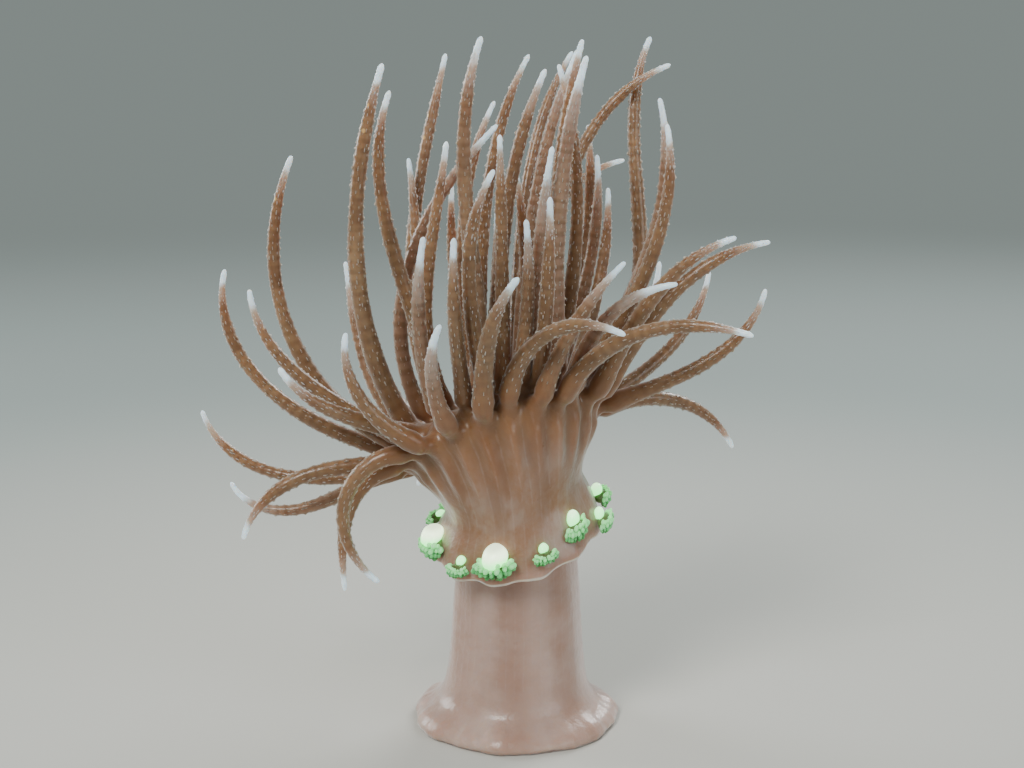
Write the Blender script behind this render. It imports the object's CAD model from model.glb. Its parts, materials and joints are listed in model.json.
# %% [markdown]
# # A small sea anemone, life size
# A sea anemone is a bag of soft, wet, see-through flesh. It holds on with a flat foot, its column
# carries a pleated collar with round vesicles, and its crown ends in some sixty tentacles. The
# packed CAD model gives the true places and sizes. This lesson grows one seamless skin over it,
# adds the vesicles and their green lobes, and then finishes them.

import json
import math

import bpy
import numpy as np
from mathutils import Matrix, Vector, kdtree

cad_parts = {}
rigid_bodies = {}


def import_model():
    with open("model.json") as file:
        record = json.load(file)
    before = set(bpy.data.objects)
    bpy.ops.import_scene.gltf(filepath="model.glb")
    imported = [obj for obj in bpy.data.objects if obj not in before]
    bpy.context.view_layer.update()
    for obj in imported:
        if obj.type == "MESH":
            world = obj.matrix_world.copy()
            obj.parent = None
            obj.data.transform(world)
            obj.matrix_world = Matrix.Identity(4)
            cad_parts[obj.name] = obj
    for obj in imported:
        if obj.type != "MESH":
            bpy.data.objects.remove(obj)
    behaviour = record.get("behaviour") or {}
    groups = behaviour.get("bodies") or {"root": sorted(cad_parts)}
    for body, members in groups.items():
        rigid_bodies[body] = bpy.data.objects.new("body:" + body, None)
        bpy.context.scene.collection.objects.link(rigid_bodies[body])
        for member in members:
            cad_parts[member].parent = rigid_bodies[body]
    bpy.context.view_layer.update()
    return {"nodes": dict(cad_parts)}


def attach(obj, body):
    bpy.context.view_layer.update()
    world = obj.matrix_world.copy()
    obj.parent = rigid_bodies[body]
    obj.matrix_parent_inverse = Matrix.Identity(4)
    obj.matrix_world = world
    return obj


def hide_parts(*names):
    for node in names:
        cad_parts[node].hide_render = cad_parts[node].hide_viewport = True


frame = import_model()
MM = 0.001
TURN = 2 * math.pi

# %% [markdown]
# ## Where the body lies
# The animal could be sculpted straight into its pose, but every ridge would then have to be drawn
# aslant. It is easier to think of it upright, as a turned shape, and to bend the finished shape.
# The function below is that bend: the column leans over to the back left, and the collar dips
# towards the front left. Everything that follows is measured in millimetres on the upright body.

# %% Bend the upright body into its pose
LEAN_FROM, LEAN_TO = 10.0, 14.5
LEAN_ANGLE, LEAN_HEADING = math.radians(28), math.radians(135)
DIP_SLOPE, DIP_HEADING = 0.3, math.radians(238)
COLLAR_BOTTOM, COLLAR_TOP = 9.0, 11.3
DIP_FROM, DIP_TO = 2, 14  # heights at which the column's dip begins and has ended
MOUTH_HEIGHT = 16.1


def smooth(value, low, high):
    share = np.clip((np.asarray(value, float) - low) / (high - low), 0, 1)
    return share * share * (3 - 2 * share)


def body_point(x, y, height):
    """Where a point of the upright body comes to lie, in millimetres."""
    dips = smooth(height, DIP_FROM, COLLAR_BOTTOM) * (1 - smooth(height, COLLAR_TOP, DIP_TO))
    along = height - DIP_SLOPE * dips * (x * math.cos(DIP_HEADING) + y * math.sin(DIP_HEADING))
    bend = (LEAN_TO - LEAN_FROM) / LEAN_ANGLE
    turn = np.clip((along - LEAN_FROM) / bend, 0, LEAN_ANGLE)
    beyond = np.maximum(along - LEAN_TO, 0)
    cos, sin = math.cos(LEAN_HEADING), math.sin(LEAN_HEADING)
    ahead, aside = x * cos + y * sin, y * cos - x * sin
    lean = bend * (1 - np.cos(turn)) + beyond * np.sin(turn) + ahead * np.cos(turn)
    rise = np.minimum(along, LEAN_FROM) + bend * np.sin(turn) + beyond * np.cos(turn)
    rise = rise - ahead * np.sin(turn)
    return np.stack([lean * cos - aside * sin, lean * sin + aside * cos, rise], -1)


print("middle of the mouth lies at", body_point(0.0, 0.0, MOUTH_HEIGHT).round(2), "mm")

# %% [markdown]
# ## The outline of the body
# A few stations of radius and height describe the wall from the middle of the foot's underside up
# to the throat. A Catmull-Rom curve runs through them, because it passes through its stations, and
# so each one keeps the size that it says. The fold of the collar overhangs the lower column.

# %% Draw the outline through its stations
OUTLINE = [
    (0.0, 0.0), (2.4, 0.0), (4.5, 0.0), (4.9, 0.03), (5.04, 0.25), (4.75, 0.66), (4.2, 1.0),
    (3.75, 1.45), (3.45, 2.3), (3.2, 4.2), (3.1, 6.4), (3.02, 8.2), (3.02, 9.1), (3.2, 9.42),
    (3.55, 9.5), (3.85, 9.4), (4.0, 9.33), (4.1, 9.4), (4.12, 9.64), (4.02, 10.0), (3.88, 10.4),
    (3.7, 10.8), (3.52, 11.2), (3.45, 11.55), (3.58, 12.05), (3.92, 12.65), (4.35, 13.3),
    (4.76, 14.05), (4.92, 14.6), (4.8, 15.05), (4.48, 15.4), (3.9, 15.75), (3.0, 15.95),
    (1.9, 16.06), (1.3, 16.14), (1.0, 16.34), (0.84, 16.56), (0.62, 16.6), (0.46, 16.44),
    (0.34, 16.1), (0.2, 15.75), (0.0, 15.6),
]
BODY_STEP = 0.15


def curve_through(points, steps):
    """A Catmull-Rom curve through the points, at the places in steps, counted in points."""
    points = np.asarray(points, float)
    padded = np.vstack([2 * points[0] - points[1], points, 2 * points[-1] - points[-2]])
    first = np.clip(np.floor(steps).astype(int), 0, len(points) - 2)
    t = (np.asarray(steps) - first)[:, None]
    a, b, c, d = (padded[first + k] for k in range(4))
    return 0.5 * (2 * b + (c - a) * t + (2 * a - 5 * b + 4 * c - d) * t**2
                  + (3 * b - a - 3 * c + d) * t**3)


spans = np.linalg.norm(np.diff(OUTLINE, axis=0), axis=1)
counts = np.maximum(np.round(spans / BODY_STEP), 1).astype(int)
places = np.concatenate([i + np.arange(n) / n for i, n in enumerate(counts)] + [[len(spans)]])
outline = curve_through(OUTLINE, places)
outline[:, 0] = np.maximum(outline[:, 0], 0)
outline[:, 1] = np.maximum(outline[:, 1], 0)
tangent = np.gradient(outline, axis=0)
tangent /= np.linalg.norm(tangent, axis=1)[:, None]
out_of_wall = np.stack([tangent[:, 1], -tangent[:, 0]], -1)
print("rows of the body:", len(outline))

# %% [markdown]
# ## Ridges, pleats and wrinkles of the body
# Real flesh is never a smooth vase. Muscle sheets inside pull fine lengthwise furrows into the
# column, the collar hangs in scallops between its vesicles, the crown swells under each tentacle,
# and the foot's margin spreads in lobes. Each of these is one wave round the body that is let in
# over its own stretch of the height. They are added along the outward direction of the wall.

# %% Shape the body's surface
AROUND = 216
FIRST_OUTGROWTH = math.radians(16)
OUTGROWTHS = [  # vesicle radius, degrees off its even place, height off the crest
    (0.3, 0, -0.2), (0.5, 4, 0.1), (0.26, -3, -0.1), (0.34, 5, 0.1),
    (0.55, 0, 0), (0.25, -9, -0.1), (0.6, 0, 0.3), (0.24, 4, -0.1),
    (0.62, 0, 0.35), (0.24, 3, 0.2), (0.32, 0, 0.55), (0.25, 0, -0.2),
]
FURROWS = 48  # fine lengthwise furrows round the column
CROWN_SWELLINGS, FIRST_SWELLING = 24, math.radians(7.5)  # one under each outer tentacle
LIP_RADIUS, LIP_HEIGHT = 4.04, 9.34  # the lowest edge of the collar's fold
LIP_ROWS_UP = 1.3  # the pale line runs this many rows above the lip
FOLD_ROWS = 9  # reach of the collar's scallops, counted in rows
MOUTH_RADIUS, MOUTH_SQUEEZE = 1.6, 0.8
FLAT_RADIUS = 4.95

a = np.arange(AROUND) * TURN / AROUND
r, h = outline[:, :1], outline[:, 1:]
row = np.arange(len(outline))[:, None]
lip_row = int(np.argmin(np.hypot(outline[:, 0] - LIP_RADIUS, outline[:, 1] - LIP_HEIGHT)))
garland = np.cos(len(OUTGROWTHS) * (a - FIRST_OUTGROWTH))
column = smooth(h, 1.6, 3.0) * (1 - smooth(h, 13.2, 14.4))
crown_wall = smooth(h, 11.8, 14.2) * (1 - smooth(h, 15.0, 15.7)) * smooth(r, 3.2, 4.2)
fold = np.exp(-(((row - lip_row) / FOLD_ROWS) ** 2))
margin = smooth(r, 3.6, 4.6) * (1 - smooth(h, 0.7, 1.6))

# Each line is one set of waves: how high it rises in millimetres, where, and how often round.
rise = 0.003 * column * np.cos(FURROWS * a + 0.6 * np.sin(5 * a))
rise += 0.025 * column * np.sin(9 * a + 0.35 * h + 0.8 * np.sin(2 * a))
rise += 0.06 * column * np.sin(2 * a + 0.5 * h) * smooth(h, 2, 5)
rise += 0.01 * smooth(h, 1.6, 3) * (1 - smooth(h, 6.5, 8)) * np.sin(9 * h + 1.5 * np.sin(4 * a))
rise += 0.15 * crown_wall * np.cos(CROWN_SWELLINGS * (a - FIRST_SWELLING))
rise += fold * (0.05 * garland + 0.04 * np.sin(5 * a + 1.3) + 0.012 * np.sin(29 * a))
rise += margin * (0.07 * np.sin(7 * a + 1) + 0.03 * np.sin(17 * a) + 0.012 * np.sin(43 * a))
lips = smooth(h, MOUTH_HEIGHT, MOUTH_HEIGHT + 0.25) * (r < MOUTH_RADIUS)
rise += 0.07 * lips * np.cos(14 * a)
rise *= smooth(r, 0.05, 0.5)
rise *= (h >= 0.02) | (r >= FLAT_RADIUS)
drop = fold * (0.05 * garland + 0.08 * np.sin(3 * a + 0.73) + 0.012 * np.sin(19 * a))

radius = r + rise * out_of_wall[:, :1]
height = h + rise * out_of_wall[:, 1:] - drop
upright = np.stack([radius * np.cos(a), radius * np.sin(a), height], -1)
upright[..., 0] *= 1 - (1 - MOUTH_SQUEEZE) * lips
body_grid = body_point(upright[..., 0], upright[..., 1], upright[..., 2])
body_grid[..., 2] = np.maximum(body_grid[..., 2], 0)
print("highest ridge of the skin:", rise.max().round(3), "mm")

# %% [markdown]
# ## A closed tube of faces
# The body and each tentacle are the same thing to Blender: rings of points, joined ring to ring and
# closed at both ends by one point. One helper makes them all. It also gives every corner the values
# that the finishes will read: where the corner is on the upright body, where it is on a tentacle
# that is pulled straight, how far off the tip and the collar's lip are, how many swellings there
# are up to it, and the tentacle's own shade, one for the whole tentacle. Values on corners are
# kept when solids are joined later. The corners also get a place on the flat colour map.

# %% Turn rings of points into a closed mesh
def set_layer(layer, field, values):
    layer.data.foreach_set(field, np.asarray(values, np.float32).ravel())


def closed_net(rows, around, start=0):
    """The faces of a closed tube, and how far round and up each of their corners lies.

    start: the corner that a square begins with, because it is cut in two from there.
    """
    first, last, top = rows * around, rows * around + 1, (rows - 1) * around
    faces, places = [], []
    for k in range(rows - 1):
        for i in range(around):
            square = [(i, k), (i + 1, k), (i + 1, k + 1), (i, k + 1)]
            square = square[start:] + square[:start]
            faces.append(tuple(ring * around + step % around for step, ring in square))
            places += [(step, ring + 1) for step, ring in square]
    for i in range(around):
        faces.append((first, (i + 1) % around, i))
        places += [(i + 0.5, 0), (i + 1, 1), (i, 1)]
    for i in range(around):
        faces.append((last, top + i, top + (i + 1) % around))
        places += [(i + 0.5, rows + 1), (i, rows), (i + 1, rows)]
    return faces, np.array(places) / (around, rows + 1)


def closed_mesh(name, rings, start, end, values, map_box):
    """rings: (rows, around, 3) in mm. values: {name: one for the mesh, or one for each point}."""
    points = np.vstack([rings.reshape(-1, 3), [start], [end]])
    faces, places = closed_net(*rings.shape[:2])
    mesh = bpy.data.meshes.new(name)
    mesh.from_pydata((points * MM).tolist(), [], faces)
    corner = np.concatenate(faces)
    for key, value in values.items():
        value = np.asarray(value, float)
        vector = value.shape[-1:] == (3,)
        value = np.broadcast_to(value, (len(points), 3) if vector else len(points))
        layer = mesh.attributes.new(key, "FLOAT_VECTOR" if vector else "FLOAT", "CORNER")
        set_layer(layer, "vector" if vector else "value", value[corner])
    set_layer(mesh.uv_layers.new(name="OFBake"), "uv", places * map_box[2:] + map_box[:2])
    return mesh


print("a tube of two rings of six points has", len(closed_net(2, 6)[0]), "faces")

# %% Make the body
BODY_MAP = (0.005, 0.005, 0.47, 0.42)  # u, v, width and height of the body's patch
FAR_FROM_TIP, FAR_FROM_LIP = 30, 20
NOT_A_TENTACLE = (0, 0, -1)
ends = [[0, 0, outline[0, 1]], [0, 0, outline[-1, 1]]]
above_lip = np.repeat((row[1:-1] - lip_row - LIP_ROWS_UP) * BODY_STEP, AROUND)
body_values = {
    "upright": np.vstack([upright[1:-1].reshape(-1, 3), ends]), "straight": NOT_A_TENTACLE,
    "tip_gap": FAR_FROM_TIP, "bead": 0, "shade": 0.5,
    "lip": np.append(above_lip, [FAR_FROM_LIP] * 2),
}
body_mesh = closed_mesh(
    "skin", body_grid[1:-1], body_grid[0, 0], body_grid[-1, 0], body_values, BODY_MAP
)
print("body faces:", len(body_mesh.polygons))

# %% [markdown]
# ## How the tentacles are posed
# Tentacles stand in four rings, and a slot is one place in its ring. Each follows a heading and a
# climb that changes smoothly from root to tip. The ones that matter to the pose have a row of their
# own. The rest are spread evenly with a little wave, so that no two are alike.

# %% Pose the tentacles that matter
RINGS = {  # slots in the ring, angle of the first, radius, height on the upright body
    "outer": (24, 7.5, 4.75, 14.9),
    "second": (20, 0, 3.85, 15.6),
    "third": (14, 0, 2.85, 16.0),
    "inner": (8, 0, 1.85, 16.1),
}
POSED = {  # slot: heading, sway, tipped back, climb at root, middle and tip, length, width at root
    "outer": {
        9: (175, 0, 8, (18, 34, 102), 16.1, 0.95),
        10: (172, 0, 0, (-6, 3, 72), 12.6, 0.85),
        11: (176, 0, 0, (-4, -22, 62), 10, 0.85),
        12: (186, 0, 0, (6, -16, -76), 9.6, 0.95),
        13: (180, 0, 0, (6, -68, -95), 8.2, 0.85),
        14: (190, 0, 0, (30, -72, -140), 9.4, 0.9),
        15: (195, 0, 0, (20, 50, 100), 7.9, 0.95),
        16: (205, 100, 0, (50, 64, 48), 7.2, 0.95),
        17: (258, 60, 0, (80, 65, 45), 8.9, 1.05),
        18: (322, 0, 0, (104, 38, -16), 9.8, 0.95),
        19: (345, 0, 0, (75, 62, 45), 8.7, 0.9),
        20: (335, 0, 0, (74, 24, -12), 11.4, 0.95),
        21: (345, 0, -8, (96, 56, 12), 8.8, 0.9),
        22: (350, 0, -6, (62, 58, 20), 11.2, 0.95),
        23: (0, 0, 0, (60, 50, 8), 12, 0.95),
    },
    "second": {
        1: (16, 0, 14, (22, 92, 66), 20, 1.0),
        2: (58, 0, 0, (50, 62, 95), 12, 0.9),
        4: (5, 0, 25, (84, 80, 15), 16.6, 0.85),
        7: (180, 0, 12, (54, 92, 102), 20.5, 0.9),
        8: (170, 0, 15, (16, 68, 80), 11.5, 0.85),
        9: (178, 0, 4, (10, 66, 112), 18.3, 0.95),
        10: (180, 0, 0, (34, 36, 85), 12, 0.9),
        11: (200, 0, -4, (52, 86, 108), 19.2, 1.05),
        12: (205, 0, 0, (28, 22, 60), 8.8, 0.95),
        13: (200, 0, -10, (66, 84, 100), 10, 0.95),
        14: (230, 0, -18, (80, 84, 96), 10, 0.9),
        15: (0, 0, -16, (100, 94, 62), 12.5, 0.9),
        16: (20, 0, -6, (82, 86, 96), 9, 0.9),
        17: (300, 0, -14, (84, 84, 92), 10.5, 0.9),
        18: (192, 0, -6, (88, 93, 106), 16.2, 1.05),
    },
    "third": {
        2: (350, 0, 14, (76, 78, 20), 19.6, 0.9),
        3: (8, 0, 18, (84, 85, 60), 19.6, 0.85),
        4: (180, 0, 12, (78, 88, 116), 16.8, 0.85),
        6: (180, 0, 16, (68, 85, 82), 14.2, 0.85),
        7: (348, 0, 6, (134, 76, 45), 17, 0.85),
        8: (172, 0, 2, (86, 73, 110), 16.7, 0.95),
        9: (178, 0, -8, (56, 94, 97), 14, 0.85),
        10: (196, 0, -5, (98, 84, 110), 17.8, 1.0),
        11: (100, 0, -12, (88, 86, 84), 13, 0.85),
        12: (15, 0, -10, (84, 86, 80), 12.3, 0.85),
        13: (0, 0, -2, (86, 86, 76), 17, 0.9),
    },
    "inner": {
        1: (0, 0, 8, (92, 82, 68), 18, 0.85),
        3: (0, 0, 6, (82, 86, 62), 18.6, 0.85),
        6: (0, 0, 0, (86, 84, 66), 16.4, 0.95),
    },
}
print("tentacles with a row of their own:", sum(map(len, POSED.values())))

# %% Spread the rest evenly
NATURAL = {  # climb at root, middle and tip, length, width at root
    "outer": ((30, 34, 84), 12.5, 0.9),
    "second": ((52, 64, 98), 13.5, 0.9),
    "third": ((70, 80, 100), 14, 0.85),
    "inner": ((84, 86, 92), 10, 0.8),
}
DROOPING = (14, -22, -66)
WAVE_CLIMB, WAVE_SWAY, WAVE_LENGTH = 7, 12, 0.16
EMPTY = {("third", 5), ("inner", 4), ("inner", 5), ("inner", 7)}


def natural_pose(ring, slot):
    climb, length, width = NATURAL[ring]
    slots, first = RINGS[ring][:2]
    wave = math.sin(slot * 2.4 + slots)
    droops = ring == "outer" and slot % 3 == 1
    climb = [angle + WAVE_CLIMB * wave for angle in (DROOPING if droops else climb)]
    length *= 0.8 if droops else 1 + WAVE_LENGTH * wave
    return first + 360 * slot / slots, WAVE_SWAY * wave, 0, climb, length, width


tentacles = [
    (ring, slot, POSED[ring].get(slot) or natural_pose(ring, slot))
    for ring in RINGS
    for slot in range(RINGS[ring][0])
    if (ring, slot) not in EMPTY
]
print("tentacles:", len(tentacles))

# %% [markdown]
# ## From a pose to a tentacle
# A tentacle is a hollow tube of muscle, round in section. A curve with a bevel would do, but here
# every ring of points is placed by hand, so that the tube can carry what a bevel can't: the
# shallow swellings that follow each other like beads and get closer towards the tip, and a root
# that begins inside the crown and swells out of it. The ring of points is carried along the middle
# line without twisting.

# %% Follow a tentacle's middle line
STATIONS = 48  # steps of the middle line
ROOT_DEPTH = 0.7


def direction(heading, climb):
    level = np.cos(climb)
    return np.stack([level * np.cos(heading), level * np.sin(heading), np.sin(climb)], -1)


def tip_back(vectors, degrees):
    """Turns directions about -X, which tips a tentacle over towards +Y."""
    cos, sin = math.cos(math.radians(degrees)), math.sin(math.radians(degrees))
    x, y, z = np.moveaxis(vectors, -1, 0)
    return np.stack([x, y * cos + z * sin, z * cos - y * sin], -1)


def root_place(ring, slot):
    """Where the root comes out, a millimetre into the flesh from there, and the way inwards."""
    slots, first, radius, height = RINGS[ring]
    around = math.radians(first + 360 * slot / slots)
    x, y = radius * math.cos(around), radius * math.sin(around)
    surface = body_point(x, y, height)
    return surface, body_point(x, y, height - 1), (body_point(0.0, 0.0, height) - surface) / radius


def centreline(ring, slot, pose):
    heading, sway, tipped, (low, middle, high), length, _ = pose
    surface, inside, _ = root_place(ring, slot)
    s = np.arange(STATIONS + 1) / STATIONS
    turn = np.radians(heading + sway * s)
    climb = low * (1 - s) * (1 - 2 * s) + 4 * middle * s * (1 - s) + high * s * (2 * s - 1)
    ahead = tip_back(direction(turn, np.radians(climb)), tipped)
    side = tip_back(direction(turn + math.pi / 2, np.zeros_like(s)), tipped)
    steps = ahead * length / STATIONS
    steps[0] = surface + (inside - surface) * ROOT_DEPTH
    return np.cumsum(steps, axis=0), side, np.cross(ahead, side)


print("first root comes out at", root_place("outer", 0)[0].round(2), "mm")

# %% Swell and taper a tentacle
TIP_TAPER = 0.45  # share of the width that is lost evenly on the way to the tip
TIP_NARROWING, NARROWS_OVER = 0.45, (0.2, 3.4)  # more is lost between these gaps to the tip
ROOT_SHIFT = 0.5  # how far the root's start lies inwards of the surface it comes out of
ROOT_SHIFT_ENDS = 1.8
ROOT_SWELLING, ROOT_SWELLS_OVER = 0.3, 1.2
ROOT_TAPER = 1.4  # over this length the buried root grows to its full width
BEAD_GAP = 0.74  # millimetres from one swelling to the next at the root
BEADS_CROWD = 0.45  # how much closer they follow each other at the tip
BEAD_STEP = 0.37  # how far they are moved from one tentacle to the next
BEAD_RISE, BEAD_RISE_OUTER = 0.014, 0.055


def tentacle_shape(number, ring, slot, pose, along):
    """Middle line, two directions across it, radius and count of swellings, at places along."""
    length, width = pose[4:]
    points, side, over = centreline(ring, slot, pose)
    s = along / length
    spot = curve_through(points, s * STATIONS)
    across, up = curve_through(side, s * STATIONS), curve_through(over, s * STATIONS)
    shift = ROOT_SHIFT * (1 - smooth(along, 0, ROOT_SHIFT_ENDS))
    spot += root_place(ring, slot)[2] * shift[:, None]
    bead = along / BEAD_GAP * (1 + BEADS_CROWD * s) + number * BEAD_STEP
    bead_rise = BEAD_RISE + BEAD_RISE_OUTER * smooth(s, 0.15, 0.8)
    swell = 1 + bead_rise * (np.cos(TURN * bead) - 0.6)
    swell += 0.03 * np.sin(1.3 * along + 2 * number)
    swell += ROOT_SWELLING * np.exp(-(((along - ROOT_DEPTH) / ROOT_SWELLS_OVER) ** 2))
    tube = width / 2 * (1 - TIP_TAPER * s) * swell
    tube *= np.sqrt(np.clip(1 - np.clip(1 - along / ROOT_TAPER, 0, 1) ** 2, 0.04, 1))
    tube *= 1 - TIP_NARROWING * (1 - smooth(length - along, *NARROWS_OVER))
    tip_radius = width / 2 * (1 - TIP_TAPER)
    tube *= np.sqrt(1 - np.clip((along - length + tip_radius) / tip_radius, 0, 1) ** 2)
    return spot, across, up, tube, bead


tube = tentacle_shape(0, *tentacles[0], np.linspace(1, 9, 5))[3]
print("radius of the first tentacle, every 2 mm:", tube.round(3), "mm")

# %% Make one tentacle
TUBE_AROUND, TUBE_STEP = 12, 0.17
TIP_RINGS = np.array([0.35, 0.62, 0.82, 0.95])  # where the rounded tip has its rings
GOLDEN_SHARE = 0.618034  # steps of this size spread the tentacles' own shades evenly


def tentacle_mesh(number, ring, slot, pose, map_box):
    length, width = pose[4:]
    tip_radius = width / 2 * (1 - TIP_TAPER)
    along = np.linspace(0, length - tip_radius, int(length / TUBE_STEP))
    along = np.append(along, length - tip_radius * (1 - TIP_RINGS))
    spot, across, up, tube, bead = tentacle_shape(number, ring, slot, pose, along)
    ring_angle = np.arange(TUBE_AROUND) * TURN / TUBE_AROUND
    cos, sin = np.cos(ring_angle), np.sin(ring_angle)
    outwards = across[:, None] * cos[:, None] + up[:, None] * sin[:, None]
    rings = spot[:, None] + tube[:, None, None] * outwards
    # Radii in the straightened place are the plain tube's, so that spots keep their size.
    plain = (width / 2 * (1 - TIP_TAPER * along / length))[:, None]
    straight = np.stack(np.broadcast_arrays(plain * cos, plain * sin, along[:, None]), -1)
    straight = np.vstack([straight.reshape(-1, 3), [[0, 0, 0], [0, 0, length]]])
    values = {
        "upright": (RINGS[ring][2], 0, RINGS[ring][3]), "straight": straight,
        "tip_gap": length - straight[:, 2],
        "bead": np.append(np.repeat(bead, TUBE_AROUND), [0, bead[-1]]),
        "shade": number * GOLDEN_SHARE % 1, "lip": FAR_FROM_LIP,
    }
    tip = centreline(ring, slot, pose)[0][-1]
    return closed_mesh(f"tube_{number}", rings, spot[0], tip, values, map_box)


print("points round a tentacle:", TUBE_AROUND, "and a ring every", TUBE_STEP, "mm")

# %% [markdown]
# ## A place for each tentacle on the colour map
# The exported model carries its colours on one flat picture, so each tube needs its own strip of
# it, as if it were slit lengthwise and rolled flat. An automatic unwrap would cut the thin tubes
# into hundreds of scraps. Here the strips stand side by side in rows, longest first, and every one
# has the same scale.

# %% Lay the strips out and make the tubes
MAP_SCALE = 1 / 66  # share of the map for each millimetre
STRIP_WIDTH, STRIP_GAP = 2.75 * MAP_SCALE, 0.35 * MAP_SCALE
MAP_START, MAP_END = 0.005, 0.998
BESIDE_BODY, ABOVE_BODY = 0.495, 0.45  # where the body's patch has ended


def strip_places(lengths):
    """A strip (u, v, wide, tall) for each length, in rows above and beside the body's patch."""
    strips = [None] * len(lengths)
    u, v, left, tallest = MAP_START, ABOVE_BODY, MAP_START, 0
    for k in np.argsort(-np.asarray(lengths)):
        tall = lengths[k] * MAP_SCALE
        if u + STRIP_WIDTH > MAP_END:
            u, v, tallest = left, v + tallest + STRIP_GAP, 0
        if left != BESIDE_BODY and v + tall > MAP_END:
            left, u, v, tallest = BESIDE_BODY, BESIDE_BODY, MAP_START, 0
        strips[k] = (u, v, STRIP_WIDTH, tall)
        u += STRIP_WIDTH + STRIP_GAP
        tallest = max(tallest, tall)
    return strips


strips = strip_places([pose[4] for _, _, pose in tentacles])
scrap = bpy.data.collections.new("tubes")
bpy.context.scene.collection.children.link(scrap)
for number, (ring, slot, pose) in enumerate(tentacles):
    tube = bpy.data.objects.new("tube", tentacle_mesh(number, ring, slot, pose, strips[number]))
    scrap.objects.link(tube)
print("highest strip ends at", round(max(v + tall for _, v, _, tall in strips), 3))

# %% [markdown]
# ## One skin
# The tubes could simply stick into the body, but a wet animal shows every such edge. They are
# joined into one closed solid by a Boolean union, which keeps the clean rings of the tubes. A voxel
# remesh would also join them, but it would melt neighbours together and lose the rings.

# %% Join body and tentacles
def show(name, data):
    thing = bpy.data.objects.new(name, data)
    bpy.context.scene.collection.objects.link(thing)
    return thing


skin = show("skin", body_mesh)
union = skin.modifiers.new("join", "BOOLEAN")
union.operation, union.solver = "UNION", "MANIFOLD"
union.operand_type, union.collection = "COLLECTION", scrap
solved = skin.evaluated_get(bpy.context.evaluated_depsgraph_get())
joined = bpy.data.meshes.new_from_object(solved)
skin.modifiers.clear()
skin.data = joined
for tube in list(scrap.objects):
    bpy.data.objects.remove(tube)
bpy.data.collections.remove(scrap)
print("skin:", len(joined.vertices), "points", len(joined.polygons), "faces")

# %% [markdown]
# ## Melt the roots into the crown
# The union leaves a sharp crease round every root. Real flesh flows from one into the other. The
# points near a crease are drawn towards the middle of their neighbours, over and over, and less so
# the further they are from the crease. This is what a smooth brush does in sculpting.

# %% Smooth the creases
CREASE_REACH = 0.8
LOWEST_CREASE = 12
SMOOTH_ROUNDS, SMOOTH_PULL = 18, 0.6


def read(items, field, width, kind=float):
    values = np.empty(len(items) * width, kind)
    items.foreach_get(field, values)
    return values.reshape(-1, width)


points = read(joined.vertices, "co", 3) / MM
corner = read(joined.loops, "vertex_index", 1, int)[:, 0]
on_tube = read(joined.attributes["straight"].data, "vector", 3)[:, 2] > -0.5
near_tube = np.zeros(len(points), bool)
near_body = np.zeros(len(points), bool)
near_tube[corner[on_tube]] = True
near_body[corner[~on_tube]] = True
crease = points[near_tube & near_body]
tree = kdtree.KDTree(len(crease))
for i, co in enumerate(crease):
    tree.insert(co, i)
tree.balance()
gap = np.full(len(points), np.inf)
for i in np.nonzero(points[:, 2] > LOWEST_CREASE)[0]:
    gap[i] = tree.find(points[i])[2]
weight = SMOOTH_PULL * (1 - smooth(gap, 0.1, CREASE_REACH))[:, None]
edges = read(joined.edges, "vertices", 2, int)
edges = edges[(weight[edges[:, 0], 0] > 0) | (weight[edges[:, 1], 0] > 0)]
neighbours = np.maximum(np.bincount(edges.ravel(), minlength=len(points)), 1)[:, None]
for _ in range(SMOOTH_ROUNDS):
    total = np.zeros_like(points)
    np.add.at(total, edges[:, 0], points[edges[:, 1]])
    np.add.at(total, edges[:, 1], points[edges[:, 0]])
    points += weight * (total / neighbours - points)
joined.vertices.foreach_set("co", (points * MM).ravel())
joined.update()
joined.polygons.foreach_set("use_smooth", np.ones(len(joined.polygons), bool))
print("points on creases:", len(crease), "smoothed:", int((weight > 0).sum()))

# %% [markdown]
# ## Vesicles
# Each outgrowth of the collar ends in a round vesicle, a tight bubble that glows cream-white. A
# sphere would look like a bead laid on top, so each is a dome that narrows to a short neck and is
# squeezed a little, each to its own size.

# %% Helpers for small shapes on the collar
CREST_RADIUS, CREST_HEIGHT = 4.1, 10.3
DISC_SIZE = 0.46  # half width of a shape's disc on the colour map, as a share of its cell


def on_collar(angle, out, side, up):
    """A place on the collar: how far out of its crest, to the side of it and above it."""
    radius = CREST_RADIUS + out
    return body_point(radius * np.cos(angle) - side * np.sin(angle),
                      radius * np.sin(angle) + side * np.cos(angle), CREST_HEIGHT + up)


def sphere(rows, around):
    """A unit sphere with its poles on the third axis: its points, and the net of its faces.

    The net holds the faces, and each corner's place on a flat disc with the upper pole as middle.
    """
    polar = np.linspace(math.pi, 0, rows + 1)[1:-1, None]
    turn = np.arange(around) * TURN / around
    x, y = np.sin(polar) * np.cos(turn), np.sin(polar) * np.sin(turn)
    grid = np.stack(np.broadcast_arrays(x, y, np.cos(polar)), -1).reshape(-1, 3)
    faces, places = closed_net(rows - 1, around, start=1)
    turn, reach = places[:, 0] * TURN, 1 - places[:, 1:]
    disc = np.stack([np.cos(turn), np.sin(turn)], -1) * reach
    return np.vstack([grid, [[0, 0, -1], [0, 0, 1]]]), (faces, disc)


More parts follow.
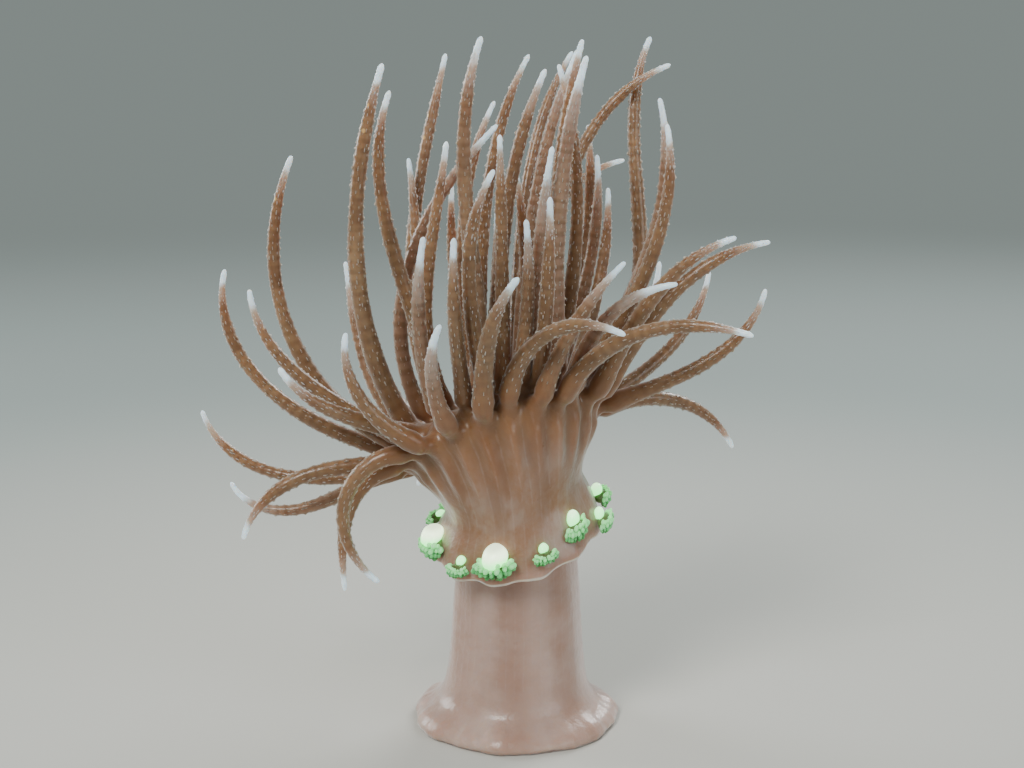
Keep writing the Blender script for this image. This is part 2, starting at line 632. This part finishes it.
class Heap:
    """Collects many small closed shapes, and then makes one object of them."""

    def __init__(self):
        self.points, self.faces, self.values, self.size = [], [], [], 0
        self.discs, self.patches = [], []

    def add(self, points, net, value, patch=None):
        """patch: the middle and half width of the shape's disc on the colour map, if it matters."""
        faces, disc = net
        self.points.append(points)
        self.faces += [tuple(self.size + i for i in face) for face in faces]
        self.values.append(np.broadcast_to(value, len(points)))
        self.size += len(points)
        self.discs.append(disc)
        if patch:
            self.patches.append(patch)

    def lay_out(self):
        """Every corner's place on the colour map. Discs without a patch lie in rows."""
        across = math.ceil(math.sqrt(len(self.discs)))
        cells = [((i % across + 0.5) / across, (i // across + 0.5) / across, DISC_SIZE / across)
                 for i in range(len(self.discs))]
        return np.vstack([np.array(patch[:2]) + disc * patch[2]
                          for disc, patch in zip(self.discs, self.patches or cells)])

    def make(self, name, slot, *nodes):
        mesh = bpy.data.meshes.new(name)
        mesh.from_pydata((np.vstack(self.points) * MM).tolist(), [], self.faces)
        layer = mesh.attributes.new("grown", "FLOAT", "POINT")
        set_layer(layer, "value", np.concatenate(self.values))
        set_layer(mesh.uv_layers.new(name="OFBake"), "uv", self.lay_out())
        mesh.polygons.foreach_set("use_smooth", np.ones(len(mesh.polygons), bool))
        piece = show(name, mesh)
        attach(piece, "root")
        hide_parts(*nodes)
        print(name, len(mesh.vertices), "points", len(mesh.polygons), "faces")
        return piece


print("front of the collar's crest:", on_collar(-math.pi / 2, 0, 0, 0).round(2), "mm")

# %% Make the vesicles
CREST_RECEDES = 0.6  # the wall stands this much further in for each millimetre up
VESICLE_SUNK, VESICLE_UP = 0.34, 0.06
NECK_NARROWS, SQUEEZE = 0.5, 0.04

ball, ball_net = sphere(20, 28)
bubbles = Heap()
for index, (size, aside, lift) in enumerate(OUTGROWTHS):
    turn = FIRST_OUTGROWTH + TURN * index / len(OUTGROWTHS) + math.radians(aside)
    wide = 1 - NECK_NARROWS * smooth(-ball[:, 2], 0.1, 1.0)
    wide = wide * (1 + SQUEEZE * np.sin(3 * np.arctan2(ball[:, 1], ball[:, 0]) + index))
    side, across = ball[:, 0] * wide * size, ball[:, 1] * wide
    up = size * (across * 0.55 + ball[:, 2] * 0.68) + VESICLE_UP + lift
    out = size * (ball[:, 2] * 0.55 - across * 0.8) + size - VESICLE_SUNK - CREST_RECEDES * lift
    shade = (1 + 0.63 * ball[:, 1] + 0.78 * ball[:, 2]) / 2 * min(0.1 + 1.5 * size, 1)
    bubbles.add(on_collar(turn, out, side, up), ball_net, shade)
vesicles = bubbles.make("vesicles", "collar", "collar")

# %% [markdown]
# ## Green lobes
# Under each vesicle a frill of small round lobes reaches out, like a hand that holds a ball. Algae
# that live in the flesh colour them green. They crowd like the florets of broccoli. So each frill
# is a flat cushion, set with rows of knobs that point straight out of it. No two knobs are quite
# alike, and all of them are joined into one piece.

# %% Make the lobes
KNOB_ROWS = ((-68, 6), (-42, 9), (-17, 11), (8, 11), (34, 8))  # climb in degrees, knobs in the row
CUSHION = np.array([0.56, 0.82, 0.36])  # half sizes outwards, aside and up, for a spread of one
CUSHION_FILL, CUSHION_SHADE = 0.9, 0.1
KNOB_SIZE, KNOB_VARIES, KNOB_STRETCH, KNOB_STRAYS = 0.125, 0.22, 0.5, 0.08
FAN = math.radians(200)  # how far round a frill reaches

knob, knob_net = sphere(7, 9)
frills = Heap()
for index, (size, aside, lift) in enumerate(OUTGROWTHS):
    turn = FIRST_OUTGROWTH + TURN * index / len(OUTGROWTHS) + math.radians(aside)
    spread = 0.35 + 1.2 * size
    middle = np.array([0.16 - CREST_RECEDES * lift, 0, lift - 0.1 - 0.48 * size])
    cushion = middle + knob[:, [2, 0, 1]] * CUSHION * spread * CUSHION_FILL
    frills.add(on_collar(turn, *cushion.T), knob_net, CUSHION_SHADE)
    for tier, (climb, number) in enumerate(KNOB_ROWS):
        for k in range(number):
            wobble = math.sin(5.1 * k + 2.3 * index + 1.7 * tier)
            fan = FAN * ((k + 0.5) / number - 0.5) + KNOB_STRAYS * wobble
            rise = math.radians(climb + 6 * wobble)
            way = np.array([math.cos(rise) * math.cos(fan), math.cos(rise) * math.sin(fan),
                            math.sin(rise)])
            thick = KNOB_SIZE * spread * (1 + KNOB_VARIES * math.sin(3.7 * k + index + tier))
            centre = middle + way * CUSHION * spread * (1 + KNOB_STRAYS * wobble)
            shape = knob + way * (knob @ way)[:, None] * KNOB_STRETCH
            shade = (tier + 1 + knob @ way) / (len(KNOB_ROWS) + 1)
            frills.add(on_collar(turn, *(centre + thick * shape).T), knob_net, shade)
lobes = frills.make("green_lobes", "collar", "collar")

# %% [markdown]
# ## Stinging spots
# Each swelling of a tentacle carries two rings of tiny clear warts, packed with stinging cells.
# Seen from the front they are faint, but along the edge of a tentacle they catch the light as a row
# of white dashes. Paint alone can't do that, so each wart is a real bump: a narrow six-sided dome,
# half sunk in the skin. Twelve triangles each are enough, because a wart is far less than a tenth
# of a millimetre wide. On the colour map each one lies at its root's place on the skin's own map.

# %% Make the stinging spots
SPOTS_AROUND, ROWS_TO_A_SWELLING = 6, 2
SPOT_LONG, SPOT_WIDE, SPOT_HIGH = 0.13, 0.03, 0.072  # half sizes
SPOT_SUNK, SPOT_STRAYS = 0.012, 0.12
SHARE_GROWN, WHITEST_TENTACLE = 0.8, 0.45
FINE_STEPS = 400
BARE_ROOT, BARE_TIP = 1.8, 0.25
WHITE_FROM, WHITE_AT = 3.0, 1.0  # gaps to the tip
SPOT_PATCH = 0.003  # width of a wart's patch on the colour map

dome, dome_net = sphere(2, 6)
warts = Heap()
for number, (ring, slot, pose) in enumerate(tentacles):
    length = pose[4]
    u, v, wide, tall = strips[number]
    along = np.linspace(BARE_ROOT, length - BARE_TIP, FINE_STEPS)
    bead = tentacle_shape(number, ring, slot, pose, along)[4]
    steps = bead * ROWS_TO_A_SWELLING
    rows = np.interp(np.arange(math.ceil(steps[0]), steps[-1]), steps, along)
    places = np.repeat(rows, SPOTS_AROUND)
    count = np.arange(len(places))
    own_white = (number * (1 - GOLDEN_SHARE) % 1) ** 3 * WHITEST_TENTACLE
    stray = np.sin(12.9898 * count + 78.233 * number) * 43.7585 % 1
    places = np.clip(places + SPOT_STRAYS * (stray - 0.5), BARE_ROOT, length - BARE_TIP)
    spin = count + 0.5 * (count // SPOTS_AROUND % 2) + 0.7 * (stray * 7 % 1)
    spin *= TURN / SPOTS_AROUND
    spot, across, up, tube, _ = tentacle_shape(number, ring, slot, pose, places)
    out = across * np.cos(spin)[:, None] + up * np.sin(spin)[:, None]
    aside = up * np.cos(spin)[:, None] - across * np.sin(spin)[:, None]
    ahead = np.cross(out, aside)
    grow = (0.55 + 0.45 * (stray * 3 % 1)) * (1 - 0.4 * smooth(length - places, 2.5, 0.5))
    for k in np.nonzero(stray * 11 % 1 < SHARE_GROWN)[0]:
        points = (spot[k] + out[k] * (tube[k] - SPOT_SUNK) + grow[k] * (
            dome[:, :1] * SPOT_WIDE * aside[k] + dome[:, 1:2] * SPOT_LONG * ahead[k]
            + dome[:, 2:] * SPOT_HIGH * out[k]))
        white = max(smooth(length - places[k], WHITE_FROM, WHITE_AT), own_white)
        patch = (u + wide * (spin[k] / TURN % 1), v + tall * places[k] / length, SPOT_PATCH / 2)
        warts.add(points, dome_net, white, patch)
spots = warts.make("stinging_spots", "tentacles", *frame["nodes"])

# %% [markdown]
# ## Hand the skin its nodes
# The skin stands for every solid of flesh: the foot, both halves of the column, the collar, the
# crown, the mouth and all the tentacles. It goes with the one body of the part.

# %% Place the skin on its body
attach(skin, "root")
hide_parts(*frame["nodes"])
print("skin stands for", len(frame["nodes"]), "nodes")

# %% [markdown]
# ## A short way to write shader trees
# A finish is a tree of nodes. These helpers add a node, feed its sockets with numbers or with other
# nodes, and return the socket that is wanted next, so that a finish reads like a recipe.

# %% Helpers for shader trees
class Tree:
    def __init__(self, tree):
        self.tree = tree

    def feed(self, node, feeds):
        """Gives each socket its number, or links it to the socket of another node."""
        for key, value in feeds.items():
            if isinstance(value, bpy.types.NodeSocket):
                self.tree.links.new(value, node.inputs[key])
            else:
                node.inputs[key].default_value = value
        return node

    def node(self, kind, feeds=None, **settings):
        node = self.tree.nodes.new("ShaderNode" + kind)
        for key, value in settings.items():
            setattr(node, key, value)
        return self.feed(node, feeds or {})

    def math(self, operation, *values, clamp=False):
        feeds = dict(enumerate(values))
        return self.node("Math", feeds, operation=operation, use_clamp=clamp).outputs[0]

    def times(self, first, second):
        return self.math("MULTIPLY", first, second)

    def vary(self, start, mask, amount):
        """The start, with so much of the mask added."""
        return self.math("ADD", start, self.times(mask, amount))

    def other(self, share):
        """What is left of one without the share."""
        return self.math("SUBTRACT", 1.0, share)

    def mix(self, share, first, second):
        feeds = {0: share, 6: first, 7: second}
        return self.node("Mix", feeds, data_type="RGBA").outputs[2]

    def ramp(self, value, low, high):
        """0 below low and 1 above high, with soft ends."""
        feeds = {"Value": value, "From Min": low, "From Max": high}
        return self.node("MapRange", feeds, interpolation_type="SMOOTHSTEP").outputs[0]

    def value(self, name, kind="Fac"):
        return self.node("Attribute", attribute_name=name).outputs[kind]

    def place(self):
        return self.node("TexCoord").outputs["Object"]

    def noise(self, given, detail, roughness):
        feeds = {"Vector": given["Vector"], "Scale": given["Scale"], "Detail": detail,
                 "Roughness": roughness}
        return self.node("TexNoise", feeds).outputs["Fac"]


print("helpers:", [name for name in vars(Tree) if name[0] != "_"])

# %% [markdown]
# ## Effects that several finishes share
# Three effects come back in every piece of this animal. Mottling is the cloudy change of tone in
# flesh that is thicker here and thinner there. Specks are the tiny pale dots of stinging cells and
# the golden grains of algae. Wet grain is the low, uneven relief under a film of water, which
# breaks up the highlights. Each is a group, built once, that puts out only a mask or a normal.

# %% Mottling
def new_group(name, result, kind, **numbers):
    """An empty node group that takes a place and some numbers, and puts out one result."""
    group = bpy.data.node_groups.new(name, "ShaderNodeTree")
    new_socket = group.interface.new_socket
    new_socket(name="Vector", in_out="INPUT", socket_type="NodeSocketVector")
    for key, default in numbers.items():
        number = new_socket(name=key, in_out="INPUT", socket_type="NodeSocketFloat")
        number.default_value = default
    new_socket(name=result, in_out="OUTPUT", socket_type=f"NodeSocket{kind}")
    entry, leave = group.nodes.new("NodeGroupInput"), group.nodes.new("NodeGroupOutput")
    return Tree(group), entry.outputs, leave


tree, given, leave = new_group("mottling", "Mask", "Float", Scale=1.0, Contrast=1.0)
centred = tree.math("SUBTRACT", tree.noise(given, 4.0, 0.6), 0.5)
stronger = tree.times(centred, given["Contrast"])
tree.feed(leave, {"Mask": tree.math("ADD", stronger, 0.5, clamp=True)})
mottling = tree.tree
print("mottling:", len(mottling.nodes), "nodes")

# %% Specks
tree, given, leave = new_group("specks", "Mask", "Float", Scale=2.0, Size=0.2, Share=0.5)
cell = tree.node("TexVoronoi", {"Vector": given["Vector"], "Scale": given["Scale"]})
inner = tree.times(given["Size"], 0.6)
dot = tree.other(tree.ramp(cell.outputs["Distance"], inner, given["Size"]))
lottery = tree.node("SeparateColor", {"Color": cell.outputs["Color"]}).outputs["Red"]
chosen = tree.math("LESS_THAN", lottery, given["Share"])
tree.feed(leave, {"Mask": tree.times(dot, chosen)})
specks = tree.tree
print("specks:", len(specks.nodes), "nodes")

# %% Wet grain
tree, given, leave = new_group("wet grain", "Normal", "Vector", Scale=3.0, Depth=2e-5, Height=0.0)
relief = tree.math("ADD", tree.noise(given, 3.0, 0.55), given["Height"])
bump = tree.node("Bump", {"Height": relief, "Distance": given["Depth"]})
tree.feed(leave, {"Normal": bump.outputs["Normal"]})
wet_grain = tree.tree
print("shared effects:", [group.name for group in bpy.data.node_groups])

# %% [markdown]
# ## The finish of the skin
# Anemone flesh is half clear. Light goes in, spreads, and comes out coloured, so the skin gets
# subsurface scattering in place of a plain paint, and a pale sheen stands for the clear outer layer
# that shows along every edge. The colours are laid on by place. The lower column is a pale lilac
# pink, the upper column and the crown are a warm brown with fine pale lengthwise lines, and the
# tentacles carry darker rings, white dots, golden grains and whitish tips.

# %% Give the skin its scattering and sheen
def use(tree, group, **feeds):
    """Places a shared effect in a finish, and returns its one output."""
    return tree.feed(tree.node("Group", node_tree=group), feeds).outputs[0]


def new_finish(name, piece, **constants):
    """Gives a piece a Principled BSDF, whose fixed numbers are set on its own sockets."""
    material = bpy.data.materials.new(name)
    material.use_nodes = True
    piece.data.materials.clear()
    piece.data.materials.append(material)
    shader = material.node_tree.nodes["Principled BSDF"]
    for key, value in constants.items():
        shader.inputs[key.replace("_", " ")].default_value = value
    return Tree(material.node_tree), shader


tree, shader = new_finish(
    "flesh", skin, Subsurface_Weight=0.8, Subsurface_Radius=(1.0, 0.6, 0.38),
    Subsurface_Scale=0.0013, IOR=1.38, Sheen_Weight=0.55, Sheen_Roughness=0.4,
    Sheen_Tint=(0.92, 0.94, 0.97, 1), Coat_Roughness=0.12, Emission_Strength=0.5,
)
depth = shader.inputs["Subsurface Scale"].default_value
print("light goes", round(depth / MM, 2), "mm into the flesh")

# %% Colour the column and the crown
upright_place = tree.value("upright", "Vector")
straight_place = tree.value("straight", "Vector")
split = tree.node("SeparateXYZ", {"Vector": upright_place})
x, y, level = (split.outputs[k] for k in range(3))
bearing = tree.math("ARCTAN2", y, x)
clouds = use(tree, mottling, Vector=upright_place, Scale=0.5, Contrast=2.2)
fine_clouds = use(tree, mottling, Vector=upright_place, Scale=2.6, Contrast=2.0)

LILAC = (0.52, 0.38, 0.33, 1)
LILAC_DEEP = (0.36, 0.21, 0.155, 1)
UPPER = (0.29, 0.14, 0.068, 1)
UPPER_PALE = (0.34, 0.21, 0.15, 1)
CROWN = (0.258, 0.128, 0.058, 1)
broad_bands = tree.math("SINE", tree.math("ADD", tree.times(bearing, 7.0), clouds))
deeper = tree.vary(tree.times(clouds, 0.6), tree.ramp(broad_bands, -1.0, 1.0), 0.4)
lower = tree.mix(deeper, LILAC, LILAC_DEEP)
upper = tree.mix(fine_clouds, UPPER, UPPER_PALE)
MILKY = (0.42, 0.33, 0.29, 1)
upper = tree.mix(tree.times(tree.ramp(clouds, 0.4, 0.8), 0.4), upper, MILKY)
wall = tree.mix(tree.ramp(level, 8.8, 10.6), lower, upper)
wall = tree.mix(tree.ramp(level, 12.2, 14.6), wall, CROWN)
DARK_STREAK = (0.19, 0.083, 0.036, 1)
streaks = tree.vary(tree.times(bearing, 11.0), clouds, 3.0)
streaks = tree.times(tree.ramp(tree.math("SINE", streaks), -0.2, 1.0),
                    tree.ramp(level, 10.4, 12.4))
wall = tree.mix(tree.times(streaks, 0.45), wall, DARK_STREAK)
print("nodes of the wall:", len(tree.tree.nodes))

# %% Draw the pale lines and the collar's edge
lines = tree.math("COSINE", tree.times(tree.vary(bearing, clouds, 0.04), FURROWS))
lines = tree.times(tree.ramp(lines, 0.75, 1.0), tree.ramp(level, 1.6, 3.0))
lines = tree.times(lines, tree.other(tree.ramp(level, 13.6, 15.0)))
lines = tree.times(lines, tree.ramp(fine_clouds, 0.1, 0.9))
PALE_LINE = (0.50, 0.42, 0.40, 1)
wall = tree.mix(tree.times(lines, 0.16), wall, PALE_LINE)
PALE_EDGE = (0.78, 0.74, 0.66, 1)
off_lip = tree.math("ABSOLUTE", tree.value("lip"))
edge = tree.times(tree.other(tree.ramp(off_lip, 0.03, 0.12)), tree.vary(0.55, fine_clouds, 0.45))
body_colour = tree.mix(edge, wall, PALE_EDGE)
print("nodes of the body:", len(tree.tree.nodes))

# %% Colour the tentacles
along = tree.node("SeparateXYZ", {"Vector": straight_place}).outputs["Z"]
GOLDEN = (0.31, 0.198, 0.103, 1)
UMBER = (0.17, 0.093, 0.045, 1)
ROSY = (0.33, 0.215, 0.16, 1)
GRAIN = (0.72, 0.50, 0.20, 1)
DOT = (0.74, 0.74, 0.72, 1)
tone = use(tree, mottling, Vector=straight_place, Scale=0.7, Contrast=2.6)
core = tree.mix(tone, GOLDEN, UMBER)
rosy = tree.ramp(tree.value("shade"), 0.6, 1.0)
core = tree.mix(tree.times(rosy, 0.6), core, ROSY)
# Dark patches follow the swellings, here strong and there gone.
banded = tree.vary(tree.value("bead"), tone, 0.3)
bands = tree.ramp(tree.math("COSINE", tree.times(banded, TURN)), -0.6, 1.0)
patchy = use(tree, mottling, Vector=straight_place, Scale=1.3, Contrast=2.4)
core = tree.mix(tree.times(tree.times(bands, patchy), 0.9), core, UMBER)
grains = use(tree, specks, Vector=straight_place, Scale=0.8, Size=0.1, Share=0.2)
core = tree.mix(tree.times(grains, 0.7), core, GRAIN)
dots = use(tree, specks, Vector=straight_place, Scale=3.0, Size=0.16, Share=0.3)
dots = tree.times(dots, tree.ramp(along, 2.0, 5.0))
core = tree.mix(tree.times(dots, 0.4), core, DOT)
print("nodes of the tentacles' cores:", len(tree.tree.nodes))

# %% Fade the tips and join both colours
NO_LIGHT = (0, 0, 0, 1)
GREYISH = (0.50, 0.46, 0.43, 1)
TIP = (0.78, 0.92, 1.0, 1)
# The rosy tentacles are paler for further back from their tips.
tip_gap = tree.math("DIVIDE", tree.value("tip_gap"), tree.vary(0.85, rosy, 0.8))
ragged = tree.vary(tip_gap, tone, 0.5)
faded = tree.other(tree.ramp(ragged, 1.2, 3.0))
core = tree.mix(tree.times(faded, 0.6), core, GREYISH)
tip_mask = tree.times(tree.other(tree.ramp(ragged, 0.8, 1.5)), tree.vary(0.6, patchy, 0.4))
core = tree.mix(tip_mask, core, TIP)
colour = tree.mix(tree.ramp(along, 0.5, 4.5), body_colour, core)
TIP_GLOW = (0.45, 0.78, 1.0, 1)
glow = tree.mix(tip_mask, NO_LIGHT, TIP_GLOW)
tree.feed(shader, {"Base Color": colour, "Emission Color": glow})
print("tip colour:", TIP[:3])

# %% Give the skin its wet relief
smear = use(tree, mottling, Vector=upright_place, Scale=1.4, Contrast=1.6)
film = tree.vary(0.05, smear, 0.4)
relief = tree.vary(tree.times(lines, 0.06), dots, 0.8)
normal = use(tree, wet_grain, Vector=tree.place(), Scale=4200.0, Depth=0.000035, Height=relief)
gloss = tree.vary(0.24, smear, 0.2)
tree.feed(shader, {"Roughness": gloss, "Coat Weight": film, "Normal": normal})
print("flesh nodes:", len(tree.tree.nodes))

# %% [markdown]
# ## The finish of the stinging spots
# The warts are clear and colourless, and show the brown flesh through them. They get a tone a
# little paler than the flesh, and a strong white sheen, which lights them up where they are seen
# edge on. Near the tip, where the flesh itself turns white, they are white too.

# %% Finish the stinging spots
tree, shader = new_finish(
    "stinging spot", spots, Subsurface_Weight=0.6, Subsurface_Radius=(1.0, 0.8, 0.6),
    Subsurface_Scale=0.0004, IOR=1.38, Sheen_Weight=0.9, Sheen_Roughness=0.45,
    Sheen_Tint=(0.97, 0.99, 1.0, 1), Coat_Roughness=0.1,
)
place = tree.place()
cloud = use(tree, mottling, Vector=place, Scale=900.0, Contrast=2.0)
CLEAR_BROWN = (0.30, 0.22, 0.14, 1)
CLEAR_PALE = (0.44, 0.38, 0.31, 1)
WHITE = (0.82, 0.84, 0.85, 1)
pale = tree.mix(tree.value("grown"), tree.mix(cloud, CLEAR_BROWN, CLEAR_PALE), WHITE)
tree.feed(shader, {"Base Color": pale, "Roughness": tree.vary(0.2, cloud, 0.15)})
print("spot nodes:", len(tree.tree.nodes))

# %% [markdown]
# ## Vesicles and lobes
# A vesicle is a bubble of clear skin over chalky white, so it gets strong scattering, hardly any
# colour and a smooth wet gloss, with a green cast at its neck where the lobes shine through. The
# lobes are as green as leaves, bright on their rounded ends and dark brown-green in the gaps.

# %% Finish the vesicles
tree, shader = new_finish(
    "vesicle", vesicles, Subsurface_Weight=0.8, Subsurface_Radius=(1.0, 1.0, 0.8),
    Subsurface_Scale=0.0006, IOR=1.4, Coat_Roughness=0.06, Sheen_Weight=0.2, Sheen_Roughness=0.3,
    Emission_Strength=2.6,
)
place = tree.place()
cloud = use(tree, mottling, Vector=place, Scale=1800.0, Contrast=1.6)
grown = tree.value("grown")
CREAM = (0.84, 1.0, 0.68, 1)
DEEP_CREAM = (0.74, 0.98, 0.60, 1)
CLEAR_TOP = (0.50, 0.56, 0.40, 1)
MINT = (0.30, 1.0, 0.34, 1)
top = tree.times(tree.ramp(grown, 0.78, 1.0), 0.85)
cream = tree.mix(top, tree.mix(cloud, CREAM, DEEP_CREAM), CLEAR_TOP)
neck = tree.other(tree.ramp(grown, 0.3, 0.75))
cream = tree.mix(neck, cream, MINT)
gloss = tree.vary(0.16, cloud, 0.12)
normal = use(tree, wet_grain, Vector=place, Scale=6000.0, Depth=0.00001, Height=0.0)
tree.feed(shader, {"Base Color": cream, "Emission Color": cream, "Roughness": gloss,
                   "Normal": normal})
print("vesicle nodes:", len(tree.tree.nodes))

# %% Finish the lobes
tree, shader = new_finish(
    "green lobe", lobes, Subsurface_Weight=0.5, Subsurface_Radius=(0.5, 1.0, 0.4),
    Subsurface_Scale=0.0003, IOR=1.38, Coat_Roughness=0.1, Sheen_Weight=0.15, Sheen_Roughness=0.3,
    Emission_Strength=0.4,
)
place = tree.place()
cloud = use(tree, mottling, Vector=place, Scale=2600.0, Contrast=2.2)
grown = tree.value("grown")
OLIVE = (0.11, 0.115, 0.045, 1)
LEAF = (0.05, 0.42, 0.11, 1)
YOUNG_LEAF = (0.30, 0.75, 0.28, 1)
GLOW = (0.36, 1.0, 0.40, 1)
GLINT = (0.7, 0.95, 0.65, 1)
green = tree.mix(tree.ramp(grown, 0.12, 0.62), OLIVE, LEAF)
green = tree.mix(tree.times(cloud, 0.25), green, YOUNG_LEAF)
near_vesicle = tree.ramp(grown, 0.5, 0.95)
green = tree.mix(near_vesicle, green, GLOW)
glints = use(tree, specks, Vector=place, Scale=9000.0, Size=0.3, Share=0.3)
green = tree.mix(tree.times(glints, 0.4), green, GLINT)
glow = tree.mix(near_vesicle, NO_LIGHT, GLOW)
gloss = tree.vary(0.22, cloud, 0.2)
normal = use(tree, wet_grain, Vector=place, Scale=7000.0, Depth=0.00002, Height=0.0)
tree.feed(shader, {"Base Color": green, "Emission Color": glow, "Roughness": gloss,
                   "Normal": normal})
print("finishes:", [m.name for m in bpy.data.materials if m.users])

# %% [markdown]
# ## Floor
# The model stands on a plain pale floor that darkens evenly with distance to a soft grey-green. The
# whitish tips of the tentacles would be lost against a white studio.

# %% Make the floor
FLOOR_HALF = 3.0
floor_mesh = bpy.data.meshes.new("floor")
corners = [(-1, -1, 0), (1, -1, 0), (1, 1, 0), (-1, 1, 0)]
floor_mesh.from_pydata([[c * FLOOR_HALF for c in p] for p in corners], [], [(0, 1, 2, 3)])
floor = show("floor", floor_mesh)
tree, shader = new_finish("floor", floor, Roughness=0.85)
distance = tree.node("VectorMath", {0: tree.place()}, operation="LENGTH").outputs["Value"]
NEAR_FLOOR = (0.55, 0.54, 0.50, 1)
FAR_FLOOR = (0.26, 0.30, 0.29, 1)
SKY = (0.36, 0.42, 0.40, 1)
SKY_STRENGTH = 0.62
FLOOR_FADES, SKY_FADES_IN = (0.01, 0.09), (0.05, 0.22)  # metres from the foot
tone = tree.mix(tree.ramp(distance, *FLOOR_FADES), NEAR_FLOOR, FAR_FLOOR)
tree.feed(shader, {"Base Color": tone})
haze = tree.node("Emission", {"Color": SKY, "Strength": SKY_STRENGTH})
blend = tree.node("MixShader", {0: tree.ramp(distance, *SKY_FADES_IN), 1: shader.outputs[0],
                                2: haze.outputs[0]})
tree.feed(tree.tree.nodes["Material Output"], {"Surface": blend.outputs[0]})
print("floor:", 2 * FLOOR_HALF, "m across")

# %% [markdown]
# ## Light
# Four soft lamps and a dim even sky. The key stands high at the front left, and two lamps behind,
# one on each side, shine through the tentacles. They make thin flesh glow and light its edges.

# %% Set up the lamps
LAMPS_AIM = Vector((0, 0, 0.016))
LAMPS = {  # place, width, watts and colour
    "key": ((-0.10, -0.16, 0.20), 0.10, 0.55, (1.0, 0.98, 0.94)),
    "fill": ((0.20, -0.14, 0.10), 0.16, 0.22, (0.93, 0.97, 1.0)),
    "back": ((0.12, 0.20, 0.16), 0.14, 0.6, (0.97, 1.0, 1.0)),
    "rim": ((-0.20, 0.12, 0.08), 0.12, 0.35, (0.95, 1.0, 1.0)),
}
for name, (place, width, watts, colour) in LAMPS.items():
    data = bpy.data.lights.new(name, "AREA")
    data.shape, data.size, data.energy, data.color = "DISK", width, watts, colour
    lamp = show(name, data)
    lamp.location = place
    lamp.rotation_euler = (LAMPS_AIM - lamp.location).to_track_quat("-Z", "Y").to_euler()
world = bpy.data.worlds.new("sky")
world.use_nodes = True
sky = Tree(world.node_tree)
sky.feed(sky.tree.nodes["Background"], {"Color": SKY, "Strength": SKY_STRENGTH})
bpy.context.scene.world = world
print("lamps:", list(LAMPS))

# %% [markdown]
# ## Camera
# The camera looks along +Y from a little above, at the height of the crown, close to the animal.

# %% Place the camera
CAMERA_CLIMB = math.radians(12)
CAMERA_DISTANCE = 88
AIM_ACROSS, AIM_UP = -0.2, 16.55
PIXELS_PER_MM, IMAGE_WIDTH, SENSOR = 20, 1024, 36
camera_data = bpy.data.cameras.new("camera")
camera_data.sensor_width = SENSOR
camera_data.lens = SENSOR * CAMERA_DISTANCE * PIXELS_PER_MM / IMAGE_WIDTH
camera_data.clip_start, camera_data.clip_end = 0.002, 20
camera = show("camera", camera_data)
aim = [AIM_ACROSS, AIM_UP * math.sin(CAMERA_CLIMB), AIM_UP * math.cos(CAMERA_CLIMB)]
look = np.array([0, math.cos(CAMERA_CLIMB), -math.sin(CAMERA_CLIMB)])
camera.location = (aim - CAMERA_DISTANCE * look) * MM
camera.rotation_euler = (math.pi / 2 - CAMERA_CLIMB, 0, 0)
bpy.context.scene.camera = camera
print("lens:", round(camera_data.lens, 1), "mm, camera at", [round(c, 4) for c in camera.location])

# %% [markdown]
# ## Check the size
# The finished model has to fill the CAD model's box and stay inside it. Both boxes are written down
# side by side.

# %% Compare the boxes and finish
bpy.context.view_layer.update()
